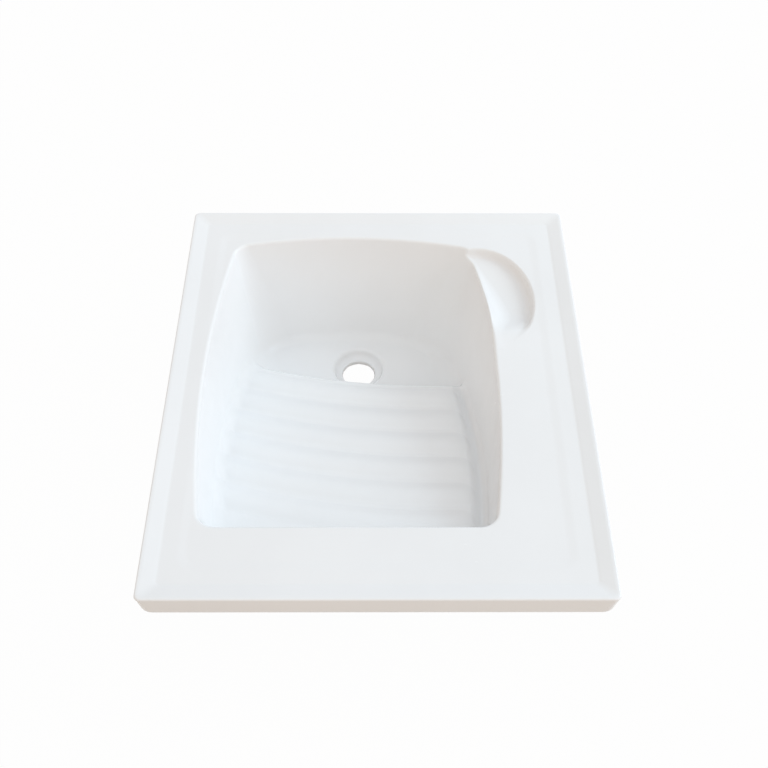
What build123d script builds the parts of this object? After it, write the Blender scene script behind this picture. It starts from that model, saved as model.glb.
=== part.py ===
from build123d import *
import os
from math import asin, cos, degrees, hypot, radians, sin, sqrt

# Drop-in laundry sink with a moulded washboard, as supplied, before it is set in a worktop.
# Z = 0 is the plane that rests on the worktop, +Y points to the back, +X to the soap dish side.

# Rim of the moulding
rim_width = 500.0
rim_depth = 600.0
rim_height = 26.0
rim_crest_corner = 7.0
rim_foot_corner = 16.0
rim_foot_inset = 0.5
rim_edge_round = 2.0
wall = 5.5

# Raised lip round the deck: its flat crest, and the slope down to the deck
crest_width = 4.0
lip_slope_width = 17.0
lip_drop = 4.0

# Deck left beside the bowl opening's virtual corners, how much the opening narrows towards
# the back, and how far each of its sides bows outwards
deck_left = 56.0
deck_right = 122.0
deck_front = 92.5
deck_back_left = 64.0
deck_back_right = 68.0
taper_left = 6.5
taper_right = 3.0
bow_left = 18.0
bow_right = 17.0
bow_back = 18.0
bow_left_floor = 27.0
bow_right_floor = 24.0
opening_front_corner = 16.0
opening_back_corner = 14.0
opening_edge_round = 2.0

# Bowl walls: how far each leans in for each millimetre of depth, at its front and back ends
lean_left_front = 0.24
lean_left_back = 0.20
lean_right_front = 0.11
lean_right_back = 0.30
lean_back = 0.20
lean_front = 0.15
bowl_depth = 160.0
floor_front_corner = 26.0
floor_back_corner = 30.0
bowl_round = 12.0

# Washboard, moulded into the front of the bowl
board_length = 310.5
board_far_depth = 126.0
board_slope = 0.245
board_far_radius = 700.0
board_apex_inset = 53.0
board_edge_round = 10.0
rib_count = 6
rib_pitch = 47.0
rib_first_inset = 31.0
rib_path_radius = 700.0
rib_width = 38.0
rib_height = 5.0
rib_root = 1.4
rib_end_gap = 13.0

# Drain seat in the floor
drain_aside = 6.0
drain_back_inset = 75.0
recess_radius = 34.5
recess_depth = 12.0
recess_round = 4.0
drain_radius = 22.5

# Soap dish: ellipse of its outer edge, where its inner edge meets the bowl, and its depth
dish_deck_right = 51.0
dish_back_inset = 97.0
dish_half_width = 69.0
dish_half_length = 95.0
dish_front_reach = 59.0
dish_back_angle = 120.0
dish_mouth = 36.0
dish_mouth_reach = 26.0
dish_ridge = 3.0
dish_depth = 16.0
dish_back_depth = 13.0
dish_front_depth = 5.0
dish_front_corner = 13.0
dish_round = 12.0

# Boards bonded under the deck, and the pad bonded under the floor round the drain
stiffener_thickness = 12.0
stiffener_gap = 1.0
stiffener_joint = 0.6
stiffener_corner = 12.0
stiffener_side_corner = 1.0
stiffener_dish_clearance = 40.0
pad_width = 130.0
pad_depth = 92.0
pad_thickness = 8.0
pad_corner = 30.0
pad_hole_gap = 0.4

# Foam seal against the worktop
seal_width = 5.0
seal_inset = 6.4
seal_recess = 0.3

# Worktop fixings: stud, swinging claw, washer and wing nut
fixing_edge = 20.5
fixing_end_inset = 120.0
stud_radius = 3.0
stud_end_z = -80.0
stud_chamfer = 0.8
insert_radius = 4.5
insert_flange_radius = 6.5
insert_flange = 1.0
insert_head_room = 0.4
stud_head_room = 1.2
press_gap = 0.05
running_gap = 0.05
claw_width = 17.0
claw_reach = 27.0
claw_heel = 10.0
claw_heel_round = 7.5
claw_thickness = 2.5
claw_toe_height = 9.0
claw_toe_z = -34.0
claw_bend = 3.0
claw_tooth = 1.5
claw_stowed_turn = 90.0
washer_radius = 8.0
washer_thickness = 1.6
nut_hub_radius = 5.5
nut_hub_height = 8.0
nut_top_radius = 6.4
wing_span = 27.0
wing_height = 12.0
wing_thickness = 2.6
wing_base = 3.0
wing_round = 1.0

# Heights and places that follow from the sizes above
opening_left = deck_left - rim_width / 2
opening_right = rim_width / 2 - deck_right
opening_front = deck_front - rim_depth / 2
opening_back_left_x = opening_left + taper_left
opening_back_left_y = rim_depth / 2 - deck_back_left
opening_back_right_x = opening_right - taper_right
opening_back_right_y = rim_depth / 2 - deck_back_right
board_far_y = opening_front + board_length
board_apex_x = opening_right - board_apex_inset
rib_first_y = board_far_y - rib_first_inset
drain_x = (opening_left + opening_right) / 2 + drain_aside
drain_y = opening_back_left_y - drain_back_inset
dish_x = rim_width / 2 - dish_deck_right - dish_half_width
dish_y = opening_back_left_y - dish_back_inset
dish_front_y = dish_y - dish_front_reach
lip_foot_inset = crest_width + lip_slope_width
fixing_y = rim_depth / 2 - fixing_end_inset
deck_z = rim_height - lip_drop
deck_under_z = deck_z - wall
floor_z = deck_z - bowl_depth
board_far_z = deck_z - board_far_depth
board_tilt = sqrt(1 + board_slope**2)
stiffener_low_z = deck_under_z - stiffener_thickness
claw_low_z = claw_toe_z - claw_toe_height - claw_thickness
through = 2 * bowl_depth
touch = 0.05


def midpoint(a, b, bow_x, bow_y):
    return ((a[0] + b[0]) / 2 + bow_x, (a[1] + b[1]) / 2 + bow_y)


def rim_frustum(z_low, inset_low, corner_low, z_high, inset_high, corner_high):
    """Block between two rounded rectangles, each set in from the outline of the rim."""
    faces = []
    for z, inset, corner in ((z_low, inset_low, corner_low), (z_high, inset_high, corner_high)):
        outline = RectangleRounded(rim_width - 2 * inset, rim_depth - 2 * inset, corner)
        faces.append((Plane.XY.offset(z) * outline).face())
    return loft(faces, ruled=True)


def bowl_outline(depth, grow, front_corner, back_corner):
    """Plan of the bowl at a depth below the deck, grown outwards for the outer skin."""
    left = opening_left + lean_left_front * depth - grow
    right = opening_right - lean_right_front * depth + grow
    front = opening_front + lean_front * depth - grow
    back_left = (
        opening_back_left_x + lean_left_back * depth - grow,
        opening_back_left_y - lean_back * depth + grow,
    )
    back_right = (
        opening_back_right_x - lean_right_back * depth + grow,
        opening_back_right_y - lean_back * depth + grow,
    )
    front_left = (left, front)
    front_right = (right, front)
    bow_out_left = left_bow(depth)
    bow_out_right = right_bow(depth)
    with BuildSketch(Plane.XY.offset(deck_z - depth)) as plan:
        with BuildLine():
            Line(front_left, front_right)
            ThreePointArc(front_right, midpoint(front_right, back_right, bow_out_right, 0), back_right)
            ThreePointArc(back_right, midpoint(back_right, back_left, 0, bow_back), back_left)
            ThreePointArc(back_left, midpoint(back_left, front_left, -bow_out_left, 0), front_left)
        make_face()
        fillet(plan.vertices().sort_by(Axis.Y)[:2], front_corner)
        fillet(plan.vertices().sort_by(Axis.Y)[-2:], back_corner)
    return plan.sketch.face()


def left_bow(depth):
    """How far the bowl's left wall bows outwards at a depth below the deck."""
    return bow_left + (bow_left_floor - bow_left) * depth / bowl_depth


def right_bow(depth):
    """How far the bowl's right wall bows outwards at a depth below the deck."""
    return bow_right + (bow_right_floor - bow_right) * depth / bowl_depth


def bowl_right_x(y, depth):
    """Where the bowl's right wall lies at a place along the bowl and a depth below the deck."""
    along = (y - opening_front) / (opening_back_right_y - opening_front)
    chord = opening_right + (opening_back_right_x - opening_right) * along
    lean = lean_right_front + (lean_right_back - lean_right_front) * along
    return chord + right_bow(depth) * (1 - (2 * along - 1) ** 2) - lean * depth


def board_z(y):
    return board_far_z - board_slope * (y - board_far_y)


def board_far_offset(point, grow):
    """Distance of a point from the curved far edge of the washboard, in plan."""
    centre_y = board_far_y - grow + board_far_radius
    return abs(hypot(point.X - board_apex_x, point.Y - centre_y) - board_far_radius)


def board_wedge(grow):
    """Everything below the washboard's face and in front of its rounded far edge."""
    low = floor_z - bowl_depth
    near_y = -rim_depth
    far_y = board_far_y + board_far_depth
    sink = grow * board_tilt
    with BuildSketch(Plane.YZ.offset(-rim_width)) as side:
        with BuildLine():
            Polyline(
                (near_y, low),
                (far_y, low),
                (far_y, board_z(far_y) - sink),
                (near_y, board_z(near_y) - sink),
                close=True,
            )
        make_face()
    block = extrude(side.sketch, amount=2 * rim_width)
    behind_y = board_far_y - grow + board_far_radius
    wedge = block - Pos(board_apex_x, behind_y, 0) * Cylinder(board_far_radius, 2 * rim_depth)
    far_edge = [
        e
        for e in wedge.edges()
        if board_far_offset(e @ 0.5, grow) < touch
        and abs((e @ 0.5).Z - board_z((e @ 0.5).Y) + sink) < touch
    ]
    return fillet(far_edge, board_edge_round - grow)


def bowl_core(grow, top_depth):
    """The hollow of the bowl with the washboard taken out, or its outer skin when grown."""
    low_face = bowl_outline(
        bowl_depth + grow, grow, floor_front_corner + grow, floor_back_corner + grow
    )
    top_face = bowl_outline(
        top_depth, grow, opening_front_corner + grow, opening_back_corner + grow
    )
    wedge = board_wedge(grow)
    core = loft([low_face, top_face], ruled=True) - wedge
    seams = wedge.edges()
    creases = []
    for edge in core.edges():
        middle = Vertex(edge @ 0.5)
        on_floor = all(abs((edge @ k).Z - floor_z + grow) < touch for k in (0, 0.5, 1))
        on_wedge = wedge.distance_to(middle) < touch
        on_seam = min(seam.distance_to(middle) for seam in seams) < touch
        if on_floor or (on_wedge and not on_seam):
            creases.append(edge)
    return fillet(creases, bowl_round)


def rib(index):
    """One rounded rib of the washboard: an arc that ends in a dome short of the right wall."""
    apex_y = rib_first_y - index * rib_pitch
    half = rib_width / 2
    section_radius = (half**2 + rib_height**2) / (2 * rib_height)
    depth = deck_z - board_z(apex_y)
    end_x = bowl_right_x(apex_y, depth) - rib_end_gap - half
    start_x = opening_left - bow_left
    end_turn = asin((end_x - board_apex_x) / rib_path_radius)
    start_turn = asin((start_x - board_apex_x) / rib_path_radius)
    along = (apex_y - board_far_y) * board_tilt
    axis = Axis((0, along + rib_path_radius, 0), (0, 0, 1))
    with BuildSketch(Plane.YZ) as section:
        with BuildLine():
            ThreePointArc((-half, 0), (0, rib_height), (half, 0))
            Polyline((half, 0), (half, -rib_root), (-half, -rib_root), (-half, 0))
        make_face()
    bar = revolve(
        Pos(0, along, 0) * section.sketch.face(),
        axis=axis,
        revolution_arc=degrees(end_turn - start_turn),
    ).rotate(axis, degrees(start_turn))
    with BuildSketch(Plane.XZ) as half_section:
        with BuildLine():
            Polyline((0, rib_height), (0, -rib_root), (half, -rib_root), (half, 0))
            RadiusArc((half, 0), (0, rib_height), -section_radius)
        make_face()
    dome = revolve(half_section.sketch.face(), axis=Axis.Z)
    dome_y = along + rib_path_radius * (1 - cos(end_turn))
    dome = Pos(rib_path_radius * sin(end_turn), dome_y, 0) * dome
    face = Plane(
        origin=(board_apex_x, board_far_y, board_far_z),
        x_dir=(1, 0, 0),
        z_dir=(0, board_slope, 1),
    )
    return (face * bar) + (face * dome)


def dish_core(grow):
    """The hollow of the soap dish, open to the bowl at its back end."""
    half_width = dish_half_width + grow
    half_length = dish_half_length + grow
    front_y = dish_front_y - grow
    back_y = dish_y + half_length * sin(radians(dish_back_angle)) - dish_mouth
    mid_y = (front_y + back_y) / 2
    front = (bowl_right_x(front_y, 0) + dish_ridge - grow, front_y)
    back = (bowl_right_x(back_y, 0) - dish_mouth_reach - grow, back_y)
    middle = (bowl_right_x(mid_y, 0) + dish_ridge / 2 - grow, mid_y)
    front_turn = -degrees(asin((dish_y - front_y) / half_length))
    with BuildSketch(Plane.XY.offset(deck_z - 2 * dish_depth)) as plan:
        with BuildLine():
            outer = EllipticalCenterArc(
                (dish_x, dish_y),
                half_width,
                half_length,
                start_angle=front_turn,
                arc_size=dish_back_angle - front_turn,
            )
            Line(outer @ 1, back)
            ThreePointArc(back, middle, front)
            Line(front, outer @ 0)
        make_face()
        front_corners = plan.vertices().sort_by(Axis.Y)[:2]
        fillet(front_corners, dish_front_corner + grow)
    prism = extrude(plan.sketch, amount=4 * dish_depth)
    with BuildSketch(Plane.YZ) as side:
        with BuildLine():
            near = (dish_front_y - dish_round, deck_z - dish_front_depth - grow)
            deep = (dish_y, deck_z - dish_depth - grow)
            far = (dish_y + dish_half_length + dish_round, deck_z - dish_back_depth - grow)
            ThreePointArc(near, deep, far)
            Polyline(far, (far[0], floor_z), (near[0], floor_z), near)
        make_face()
    scoop = prism - extrude(side.sketch, amount=rim_width)
    low_loop = [e for e in scoop.edges() if (e @ 0).Z < deck_z and (e @ 1).Z < deck_z]
    return fillet(low_loop, dish_round)


def lip_foot_distance(point):
    """How far a point lies from the line where the lip's slope meets the deck, in plan."""
    aside = abs(point.X) - (rim_width / 2 - lip_foot_inset - rim_crest_corner)
    ahead = abs(point.Y) - (rim_depth / 2 - lip_foot_inset - rim_crest_corner)
    outside = hypot(max(aside, 0), max(ahead, 0)) + min(max(aside, ahead), 0)
    return abs(outside - rim_crest_corner)


def rim_frame():
    """The deck plate with its raised lip, hollow underneath."""
    frame = rim_frustum(0, rim_foot_inset, rim_foot_corner, rim_height, 0, rim_crest_corner)
    crest = [e for e in frame.edges() if abs((e @ 0.5).Z - rim_height) < touch]
    frame = fillet(crest, rim_edge_round)
    corner = rim_crest_corner
    frame -= rim_frustum(deck_z, lip_foot_inset, corner, rim_height, crest_width, corner)
    hollow_inset = rim_foot_inset + wall
    hollow_corner = rim_foot_corner - wall
    return frame - rim_frustum(
        -1, hollow_inset, hollow_corner, deck_under_z, hollow_inset, hollow_corner
    )


def basin():
    """The moulding: rim, bowl with washboard and ribs, soap dish and drain seat."""
    skin = rim_frame() + bowl_core(wall, wall / 2)
    dish_skin = dish_core(wall)
    top_cut = Pos(0, 0, deck_z - wall / 2 + rim_height) * Box(rim_width, rim_depth, 2 * rim_height)
    skin += dish_skin - top_cut
    recess_z = floor_z - recess_depth
    boss = Cylinder(recess_radius + wall, recess_depth + wall)
    boss = fillet(boss.edges().sort_by(Axis.Z)[0], recess_round)
    boss_z = recess_z - wall + (recess_depth + wall) / 2
    skin += Pos(drain_x, drain_y, boss_z) * boss
    hollow = bowl_core(0, -2 * rim_height)
    ribs = [rib(index) & hollow for index in range(rib_count)]
    for bar in ribs:
        hollow -= bar
    body = skin - hollow - dish_core(0)
    recess = Cylinder(recess_radius, recess_depth + 1)
    recess = fillet(recess.edges().sort_by(Axis.Z)[0], recess_round)
    body -= Pos(drain_x, drain_y, recess_z + (recess_depth + 1) / 2) * recess
    body -= Pos(drain_x, drain_y, recess_z) * Cylinder(drain_radius, through)
    opening_loop = [
        e
        for e in body.edges()
        if all(abs((e @ k).Z - deck_z) < touch for k in (0, 0.5, 1))
        and lip_foot_distance(e @ 0.5) > touch
    ]
    return fillet(opening_loop, opening_edge_round)


def rounded_board(x_low, x_high, y_low, y_high, corner, low_z, thickness):
    """A flat board with rounded corners."""
    outline = RectangleRounded(x_high - x_low, y_high - y_low, corner)
    place = Pos((x_low + x_high) / 2, (y_low + y_high) / 2, low_z)
    return extrude(place * outline, amount=thickness)


def stiffener(x_low, x_high, y_low, y_high, corner):
    return rounded_board(x_low, x_high, y_low, y_high, corner, stiffener_low_z, stiffener_thickness)


def fixing_places():
    """Name and place of each worktop fixing, three to a side."""
    places = []
    for side, x in (("left", fixing_edge - rim_width / 2), ("right", rim_width / 2 - fixing_edge)):
        for row, y in (("front", -fixing_y), ("middle", 0), ("rear", fixing_y)):
            places.append((side, side + "_" + row, x, y))
    return places


def stiffeners():
    """Four boards bonded under the deck, between the apron and the bowl."""
    inner_x = rim_width / 2 - rim_foot_inset - wall - stiffener_gap
    inner_y = rim_depth / 2 - rim_foot_inset - wall - stiffener_gap
    skin_depth = wall + stiffener_gap
    front_y = opening_front - skin_depth - opening_edge_round
    rear_y = opening_back_left_y + bow_back + skin_depth
    side_front_y = front_y + stiffener_joint
    side_rear_y = rear_y - stiffener_joint
    left_x = opening_left - bow_left - skin_depth
    dish_side_x = dish_x + dish_half_width + skin_depth
    right_x = opening_right + bow_right + skin_depth
    boards = {
        "front": stiffener(-inner_x, inner_x, -inner_y, front_y, stiffener_corner),
        "rear": stiffener(-inner_x, inner_x, rear_y, inner_y, stiffener_corner),
        "left": stiffener(-inner_x, left_x, side_front_y, side_rear_y, stiffener_side_corner),
        "right": stiffener(dish_side_x, inner_x, side_front_y, side_rear_y, stiffener_side_corner)
        + stiffener(
            right_x,
            dish_side_x + stiffener_corner,
            side_front_y,
            dish_front_y - stiffener_dish_clearance,
            stiffener_side_corner,
        ),
    }
    pilot = Cylinder(insert_radius + press_gap, 3 * stiffener_thickness)
    seat = Cylinder(insert_flange_radius + press_gap, 2 * (insert_flange + press_gap))
    for side, _, x, y in fixing_places():
        boards[side] -= Pos(x, y, stiffener_low_z) * (pilot + seat)
    return boards


def drain_pad():
    """Pad bonded under the bowl's floor, bored round the drain seat."""
    pad = rounded_board(
        drain_x - pad_width / 2,
        drain_x + pad_width / 2,
        drain_y - pad_depth / 2,
        drain_y + pad_depth / 2,
        pad_corner,
        floor_z - wall - pad_thickness,
        pad_thickness,
    )
    bore = Cylinder(recess_radius + wall + pad_hole_gap, through)
    return pad - Pos(drain_x, drain_y, floor_z - wall) * bore


def rim_seal():
    """Foam strip under the boards, just inside the apron."""
    corner = rim_foot_corner - wall
    inner = seal_inset + seal_width
    strip = rim_frustum(seal_recess, seal_inset, corner, stiffener_low_z, seal_inset, corner)
    return strip - rim_frustum(-rim_height, inner, corner / 2, rim_height, inner, corner / 2)


def stud_bore():
    return Cylinder(stud_radius + running_gap, through)


def insert_bush():
    """Flanged threaded bush pressed into a board from below."""
    length = stiffener_thickness - insert_head_room
    body = Pos(0, 0, stiffener_low_z + length / 2) * Cylinder(insert_radius, length)
    body += Pos(0, 0, stiffener_low_z + insert_flange / 2) * Cylinder(
        insert_flange_radius, insert_flange
    )
    return body - stud_bore()


def stud():
    """Threaded stud that hangs down from its bush."""
    top_z = stiffener_low_z + stiffener_thickness - insert_head_room - stud_head_room
    length = top_z - stud_end_z
    rod = Pos(0, 0, (top_z + stud_end_z) / 2) * Cylinder(stud_radius, length)
    return chamfer(rod.edges().filter_by(GeomType.CIRCLE), stud_chamfer)


def claw():
    """Bent toe clamp, bored for the stud; its toe points along +X."""
    toe_low = claw_reach - claw_thickness
    plate_z = claw_low_z + claw_thickness
    with BuildSketch(Plane.XZ.offset(-claw_width / 2)) as side:
        with BuildLine():
            Polyline(
                (-claw_heel, claw_low_z),
                (claw_reach, claw_low_z),
                (claw_reach, claw_toe_z),
                (toe_low, claw_toe_z - claw_tooth),
                (toe_low, plate_z),
                (-claw_heel, plate_z),
                close=True,
            )
        make_face()
        fillet(side.vertices().sort_by_distance((claw_reach, claw_low_z, 0))[0], claw_bend)
    plate = extrude(side.sketch, amount=claw_width)
    heel = [
        e
        for e in plate.edges().filter_by(Axis.Z)
        if abs((e @ 0.5).X + claw_heel) < touch
    ]
    plate = fillet(heel, claw_heel_round)
    return plate - stud_bore()


def washer():
    disc = Cylinder(washer_radius, washer_thickness)
    disc = Pos(0, 0, claw_low_z - washer_thickness / 2) * disc
    return disc - stud_bore()


def wing_nut():
    """Wing nut below the washer: a cone hub and two rounded wings."""
    top_z = claw_low_z - washer_thickness
    hub = Cone(nut_hub_radius, nut_top_radius, nut_hub_height)
    hub = Pos(0, 0, top_z - nut_hub_height / 2) * hub
    wing_length = wing_span / 2
    with BuildSketch(Plane.XZ.offset(-wing_thickness / 2)) as side:
        with BuildLine():
            Polyline(
                (0, top_z - wing_base),
                (wing_length - wing_base, top_z - wing_base),
                (wing_length, top_z - wing_height),
                (wing_length - 2 * wing_base, top_z - wing_height),
                (0, top_z - nut_hub_height + wing_round),
                close=True,
            )
        make_face()
        outer = side.vertices().sort_by(Axis.X)[-3:]
        fillet(outer, wing_round)
    wing = extrude(side.sketch, amount=wing_thickness)
    nut = hub + wing + Rot(0, 0, 180) * wing
    return nut - stud_bore()


def build():
    """Every piece of the sink, by name."""
    nodes = {"basin": basin(), "drain_pad": drain_pad(), "rim_seal": rim_seal()}
    for name, board in stiffeners().items():
        nodes["stiffener_" + name] = board
    fixing = {
        "insert": insert_bush(),
        "stud": stud(),
        "claw": claw(),
        "washer": washer(),
        "wing_nut": wing_nut(),
    }
    for _, name, x, y in fixing_places():
        for piece, shape in fixing.items():
            nodes[piece + "_" + name] = Pos(x, y, 0) * Rot(0, 0, claw_stowed_turn) * shape
    return nodes


os.makedirs("parts", exist_ok=True)
for node, shape in build().items():
    export_step(shape, "parts/" + node + ".step")
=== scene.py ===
import math

import bpy
import numpy as np
from mathutils import Matrix, Vector, geometry


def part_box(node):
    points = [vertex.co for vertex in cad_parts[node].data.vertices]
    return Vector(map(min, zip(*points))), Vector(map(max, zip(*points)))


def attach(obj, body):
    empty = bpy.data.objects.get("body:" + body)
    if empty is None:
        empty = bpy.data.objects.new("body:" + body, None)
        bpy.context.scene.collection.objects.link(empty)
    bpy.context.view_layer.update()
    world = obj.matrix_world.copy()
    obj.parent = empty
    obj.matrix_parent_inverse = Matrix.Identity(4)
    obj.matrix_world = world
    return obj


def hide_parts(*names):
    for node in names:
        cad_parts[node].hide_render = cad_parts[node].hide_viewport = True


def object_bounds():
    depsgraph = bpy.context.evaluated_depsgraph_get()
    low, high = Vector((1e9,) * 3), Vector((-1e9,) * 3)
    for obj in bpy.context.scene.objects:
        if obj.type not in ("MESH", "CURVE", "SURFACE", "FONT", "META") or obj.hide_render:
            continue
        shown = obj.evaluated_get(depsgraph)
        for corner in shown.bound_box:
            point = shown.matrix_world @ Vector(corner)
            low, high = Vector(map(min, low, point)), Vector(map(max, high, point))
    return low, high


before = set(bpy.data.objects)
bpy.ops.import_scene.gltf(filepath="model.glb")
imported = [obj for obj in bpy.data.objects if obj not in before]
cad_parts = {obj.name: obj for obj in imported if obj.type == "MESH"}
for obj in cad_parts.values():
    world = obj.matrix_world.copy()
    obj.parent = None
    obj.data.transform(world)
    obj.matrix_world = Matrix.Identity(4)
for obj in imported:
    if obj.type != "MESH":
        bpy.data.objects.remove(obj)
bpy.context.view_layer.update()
MM = 0.001

# Sizes of the moulding, in millimetres. They are those of the part's source, apart from softer
# roundings and ribs and from the channel, the ledge and the dish's banks, which are here alone.
RIM_WIDTH = 500.0
RIM_DEPTH = 600.0
RIM_HEIGHT = 26.0
CREST_CORNER = 7.0
FOOT_CORNER = 16.0
FOOT_INSET = 0.5
EDGE_ROUND = 2.0
WALL = 5.5
CREST_WIDTH = 4.0
LIP_SLOPE_WIDTH = 17.0
DECK_Z = 22.0
DECK_UNDER_Z = DECK_Z - WALL
LIP_FOOT_CORNER = 5.0
# How far the rim's sides stay inside the CAD box
VISUAL_INSET = 0.06

# Bowl: its opening in the deck, how far its walls bow and how much they lean for each
# millimetre of depth. BACK_LEFT and BACK_RIGHT are places. Leans in a pair are those at the
# front and the back, corners those at the top and the floor, PIT_ROUND is left and right.
LEFT, RIGHT, FRONT = -194.0, 128.0, -207.5
BACK_LEFT = (-187.5, 236.0)
BACK_RIGHT = (125.0, 232.0)
BOW_LEFT, BOW_RIGHT, BOW_BACK = 18.0, 17.0, 18.0
BOW_LEFT_FLOOR = 27.0
BOW_RIGHT_FLOOR = 24.0
BOW_RIGHT_POWER = 4.5
LEAN_BACK, LEAN_FRONT = 0.20, 0.15
LEAN_LEFT = (0.24, 0.20)
LEAN_RIGHT = (0.11, 0.30)
BOWL_DEPTH = 160.0
FLOOR_Z = DECK_Z - BOWL_DEPTH
CORNER_FRONT = (16.0, 26.0)
CORNER_BACK = (14.0, 30.0)
BOWL_ROUND = 12.0
PIT_ROUND = (42.0, 26.0)
OPENING_ROUND = 3.0
# Where one rounding passes into the next: in x, in y, or past the washboard's far edge
CORNER_CHANGE_Y = (-60.0, 60.0)
CREASE_CHANGE_X = (-150.0, 90.0)
CREASE_CHANGE_PAST_EDGE = (40.0, -10.0)
PIT_CHANGE_X = (-80.0, 60.0)
PIT_CHANGE_Y = (205.0, 130.0)
UNDER_EDGE_ROUND = 1.0
UNDER_OPENING_ROUND = 0.5

# Washboard
BOARD_FAR_Y = 103.0
BOARD_FAR_Z = DECK_Z - 126.0
BOARD_SLOPE = 0.245
BOARD_TILT = math.hypot(1, BOARD_SLOPE)
BOARD_FAR_RADIUS = 700.0
BOARD_APEX_X = 75.0
BOARD_EDGE_ROUND = 9.0
BOARD_EDGE_DRAFT = 0.06
RIB_COUNT = 6
RIB_PITCH = 47.0
RIB_FIRST_Y = 72.0
RIB_PATH_RADIUS = 700.0
RIB_WIDTH = 44.0
RIB_HEIGHT = 3.9
RIB_POWER = 1.3
RIB_END_GAP = 13.0
RIB_FADE = 18.0

# Channel between the ribs' ends and the right wall
TROUGH_INSET = 8.0
TROUGH_HALF = 13.0
TROUGH_DEPTH = 8.5
TROUGH_ROUND = 5.0
TROUGH_FRONT_Y = (-205.0, -160.0)
TROUGH_FADE_PAST_EDGE = (8.0, -22.0)

# Drain seat
DRAIN = (-27.0, 161.0)
RECESS_RADIUS = 34.5
RECESS_DEPTH = 12.0
RECESS_ROUND = 5.0
RECESS_EDGE_ROUND = 3.5
RECESS_DRAFT = 0.30
DRAIN_RADIUS = 22.5
DRAIN_ROUND = 2.5

# Soap dish: an ellipse cut off by the bank that rises to the ridge beside the bowl
DISH = (130.0, 138.0)
DISH_HALF = (69.0, 93.5)
DISH_FLOOR_Z = 6.0
DISH_BACK_RISE = 4.0
DISH_BACK_Y = (150.0, 230.0)
DISH_RAMP_TOP = DECK_Z + 1.0
DISH_FRONT_Y = 68.0
DISH_RAMP_Y = 128.0
DISH_LEAN_SIDE = 0.28
DISH_LEAN_BACK = 0.10
DISH_LEAN_CHANGE = (0.1, 0.9)
DISH_ROUND = 6.5
DISH_BANK_LEAN = 1.5
RIDGE_ROUND = 2.5
RIDGE_SINK = 17.0
RIDGE_SINK_CHANGE = (-0.2, 1.0)
RIDGE_Y = (95.0, 232.0)
RIDGE_OUT = 1.5

# The faint ledge in the deck: how far in from the rim's edge, how high and how wide its slope
LEDGE_INSET = 43.0
LEDGE_RISE = 0.6
LEDGE_SLOPE = 13.0
LEDGE_CORNER = 14.0

# The mesh's points in plan: the rays that find the bowl, spacings, and rings by their inset,
# radius, depth or turn (from, to and step, in degrees)
BOWL_CENTRE = (-30.0, 10.0)
BOWL_REACH = 420.0
BOWL_GIRTH = 1500.0
OUTLINE_HALVINGS = 30
HEIGHT_HALVINGS = 34
UPPER_SPACING = 3.0
LOWER_SPACING = 4.0
DISH_SPACING = 1.6
DECK_SPACING = 9.0
BORE_SPACING = 2.0
BOARD_SPACING = (2.6, 1.7)
BOARD_SPACING_UNDER = (6.0, 6.0)
OPENING_INSETS = (0.8, 1.6, 2.6, 4.0, 6.5)
DISH_INSETS = (-4.0, -2.6, -1.6, -0.8, 0.0, 0.8, 1.6, 2.6, 4.0, 5.6, 7.4)
DISH_RING_DEPTH = 8.5
DISH_TURN = (-52.0, 112.0, 0.9)
DISH_FIELD = (104.0, 206.0, 58.0, 246.0)
DECK_FIELD = (-226.0, 226.0, -276.0, 276.0)
LEDGE_INSETS = (-7.0, -4.5, -2.0, 2.0, 4.5, 7.0)
LEDGE_COUNTS = (90, 75, 8)
RIM_COUNTS = (100, 82, 8)
BOARD_X = (-190.0, 124.0)
FOOT_CHANGE_Y = (100.0, 135.0)
EDGE_LEVELS = (0.0, 0.8, 1.8, 3.2, 5.0, 8.0)
DRAIN_RINGS = (
    22.6, 22.8, 23.2, 23.8, 24.4, 25.2, 27.0, 29.0, 30.5, 31.5,
    32.4, 33.1, 33.7, 34.1, 34.4, 34.8, 35.4, 36.4, 37.6, 39.5,
)

# Threaded stud
STUD_RADIUS = 3.0
STUD_SIDES = 24
THREAD_PITCH = 1.0
THREAD_DEPTH = 0.55
THREAD_STEPS = 6

PLY_THICKNESS = 1.5

# Colours, linear
GELCOAT_LIGHT = (0.925, 0.930, 0.935, 1.0)
GELCOAT_DARK = (0.902, 0.906, 0.910, 1.0)
GELCOAT_FLECK = (0.860, 0.858, 0.850, 1.0)
# Lighter colour laid on the gelcoat's convex edges: a painted highlight
GELCOAT_EDGE_HIGHLIGHT = (0.935, 0.938, 0.940, 1.0)
RESIN_LIGHT = (0.640, 0.625, 0.560, 1.0)
RESIN_DARK = (0.500, 0.485, 0.420, 1.0)
RESIN_STAIN = (0.560, 0.535, 0.450, 1.0)
PLY_LIGHT = (0.620, 0.450, 0.270, 1.0)
PLY_GRAIN = (0.430, 0.280, 0.140, 1.0)
PLY_EDGE_LIGHT = (0.560, 0.400, 0.230, 1.0)
PLY_EDGE_DARK = (0.300, 0.185, 0.095, 1.0)
FOAM_LIGHT = (0.060, 0.062, 0.065, 1.0)
FOAM_DARK = (0.020, 0.021, 0.023, 1.0)
FOAM_DUST = (0.110, 0.105, 0.098, 1.0)
BRASS_LIGHT = (0.800, 0.600, 0.280, 1.0)
BRASS_DARK = (0.640, 0.450, 0.190, 1.0)
BRASS_STAIN = (0.380, 0.240, 0.100, 1.0)
ZINC_LIGHT = (0.700, 0.710, 0.720, 1.0)
ZINC_DARK = (0.520, 0.530, 0.545, 1.0)
ZINC_STAIN = (0.520, 0.480, 0.400, 1.0)

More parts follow.
